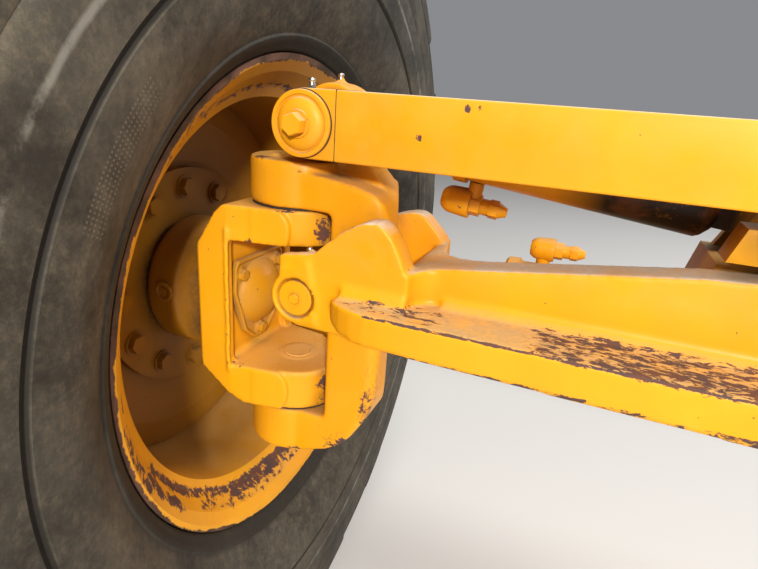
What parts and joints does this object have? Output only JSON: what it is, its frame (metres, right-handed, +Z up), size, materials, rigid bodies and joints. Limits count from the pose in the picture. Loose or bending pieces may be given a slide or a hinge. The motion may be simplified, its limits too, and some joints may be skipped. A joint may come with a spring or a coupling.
{
  "type": "motor grader front axle",
  "caption": "Arched front axle with leaning, steered wheels: lean brackets, kingpin knuckles, lean bar, lean and steering cylinders, tie rod and ribbed tyres.",
  "frame": {"origin": "centre of the pivot bore, half way along it", "axes": "+X to the machine's left, -Y to the front, +Z up; the pivot bore runs along Y"},
  "size_m": [2.515, 1.37, 1.37],
  "materials": {
    "bright_steel": "polished rod steel",
    "bronze": "bushing bronze",
    "dark_steel": "greasy dark steel",
    "rim_paint": "dusty yellow paint",
    "tyre": "dusty black rubber",
    "yellow_paint": "worn yellow paint"
  },
  "bodies": {
    "beam": {"axle_beam": "yellow_paint", "axle_fork_right": "yellow_paint", "axle_fork_left": "yellow_paint", "lean_tower": "yellow_paint", "steer_lugs": "yellow_paint", "pivot_bushing": "bronze", "lean_anchor_pin": "dark_steel", "steer_anchor_pins": "dark_steel", "lean_pin_right": "yellow_paint", "lean_pin_left": "yellow_paint"},
    "bracket_right": {"lean_bracket_right": "yellow_paint", "kingpins_right": "dark_steel"},
    "knuckle_right": {"knuckle_right": "yellow_paint", "spindle_housing_right": "yellow_paint", "bearing_cover_right": "yellow_paint", "steering_arm_right": "yellow_paint"},
    "wheel_right": {"wheel_hub_right": "yellow_paint", "rim_right": "rim_paint", "tyre_right": "tyre"},
    "steer_barrel_right": {"steer_barrel_right": "yellow_paint", "steer_port_right": "dark_steel"},
    "steer_rod_right": {"steer_rod_right": "bright_steel"},
    "bracket_left": {"lean_bracket_left": "yellow_paint", "kingpins_left": "dark_steel"},
    "knuckle_left": {"knuckle_left": "yellow_paint", "spindle_housing_left": "yellow_paint", "bearing_cover_left": "yellow_paint", "steering_arm_left": "yellow_paint", "tie_ball_left": "dark_steel"},
    "wheel_left": {"wheel_hub_left": "yellow_paint", "rim_left": "rim_paint", "tyre_left": "tyre"},
    "steer_barrel_left": {"steer_barrel_left": "yellow_paint", "steer_port_left": "dark_steel"},
    "steer_rod_left": {"steer_rod_left": "bright_steel"},
    "tie_ball_right": {"tie_ball_right": "dark_steel"},
    "tie_rod": {"tie_rod": "yellow_paint"},
    "lean_bar": {"lean_bar": "yellow_paint", "lean_bar_pin_right": "yellow_paint", "lean_bar_pin_left": "yellow_paint"},
    "lean_barrel": {"lean_cylinder_barrel": "yellow_paint", "lean_cylinder_port": "yellow_paint"},
    "lean_rod": {"lean_cylinder_rod": "bright_steel"}
  },
  "joints": [
    {"name": "lean_right", "type": "hinge", "parent": "beam", "child": "bracket_right", "pos_m": [-0.868, 0, -0.056], "axis": [0, 1, 0], "range_deg": [-18, 18]},
    {"name": "lean_left", "type": "hinge", "parent": "beam", "child": "bracket_left", "pos_m": [0.868, 0, -0.056], "axis": [0, 1, 0], "range_deg": [-18, 18]},
    {"name": "steer_right", "type": "hinge", "parent": "bracket_right", "child": "knuckle_right", "pos_m": [-0.918, 0, -0.1], "axis": [0, 0, 1], "range_deg": [-35, 35]},
    {"name": "steer_left", "type": "hinge", "parent": "bracket_left", "child": "knuckle_left", "pos_m": [0.918, 0, -0.1], "axis": [0, 0, 1], "range_deg": [-35, 35]},
    {"name": "wheel_spin_right", "type": "hinge", "parent": "knuckle_right", "child": "wheel_right", "pos_m": [-0.918, 0, -0.1], "axis": [1, 0, 0], "continuous": true},
    {"name": "wheel_spin_left", "type": "hinge", "parent": "knuckle_left", "child": "wheel_left", "pos_m": [0.918, 0, -0.1], "axis": [1, 0, 0], "continuous": true},
    {"name": "lean_bar_swing", "type": "hinge", "parent": "bracket_right", "child": "lean_bar", "pos_m": [-0.868, 0, 0.16], "axis": [0, 1, 0], "range_deg": [-18, 18]},
    {"name": "lean_cylinder_swing", "type": "hinge", "parent": "beam", "child": "lean_barrel", "pos_m": [-0.33, 0.058, 0.095], "axis": [0, 1, 0], "range_deg": [-1, 1]},
    {"name": "lean_cylinder_slide", "type": "slide", "parent": "lean_barrel", "child": "lean_rod", "axis": [-0.9928, 0, 0.1199], "range_m": [-0.068, 0.068]},
    {"name": "steer_cylinder_swing_right", "type": "hinge", "parent": "beam", "child": "steer_barrel_right", "pos_m": [-0.34, 0.13644, -0.056], "axis": [0, 1, 0], "range_deg": [-1.6, 1.6]},
    {"name": "steer_cylinder_slide_right", "type": "slide", "parent": "steer_barrel_right", "child": "steer_rod_right", "axis": [-1, 0, 0], "range_m": [-0.089, 0.089]},
    {"name": "steer_cylinder_swing_left", "type": "hinge", "parent": "beam", "child": "steer_barrel_left", "pos_m": [0.34, 0.13644, -0.056], "axis": [0, 1, 0], "range_deg": [-1.6, 1.6]},
    {"name": "steer_cylinder_slide_left", "type": "slide", "parent": "steer_barrel_left", "child": "steer_rod_left", "axis": [1, 0, 0], "range_m": [-0.089, 0.089]},
    {"name": "tie_ball_turn", "type": "hinge", "parent": "knuckle_right", "child": "tie_ball_right", "pos_m": [-0.918, 0.215, -0.185], "axis": [0, 0, 1], "range_deg": [-35, 35]},
    {"name": "tie_rod_swing", "type": "hinge", "parent": "tie_ball_right", "child": "tie_rod", "pos_m": [-0.918, 0.215, -0.185], "axis": [0, 1, 0], "range_deg": [-18, 18]}
  ],
  "couplings": [
    {"joint": "lean_left", "follows": "lean_right", "ratio": 1},
    {"joint": "steer_left", "follows": "steer_right", "ratio": 1},
    {"joint": "lean_bar_swing", "follows": "lean_right", "ratio": -1},
    {"joint": "lean_cylinder_swing", "follows": "lean_right", "ratio": 0.043},
    {"joint": "lean_cylinder_slide", "follows": "lean_right", "m_per_rad": -0.2125},
    {"joint": "steer_cylinder_swing_right", "follows": "lean_right", "ratio": 0.0865},
    {"joint": "steer_cylinder_swing_left", "follows": "lean_right", "ratio": 0.0865},
    {"joint": "steer_cylinder_slide_right", "follows": "steer_right", "m_per_rad": 0.1443},
    {"joint": "steer_cylinder_slide_left", "follows": "steer_right", "m_per_rad": -0.1443},
    {"joint": "tie_ball_turn", "follows": "steer_right", "ratio": -1},
    {"joint": "tie_rod_swing", "follows": "lean_right", "ratio": -0.9455}
  ]
}
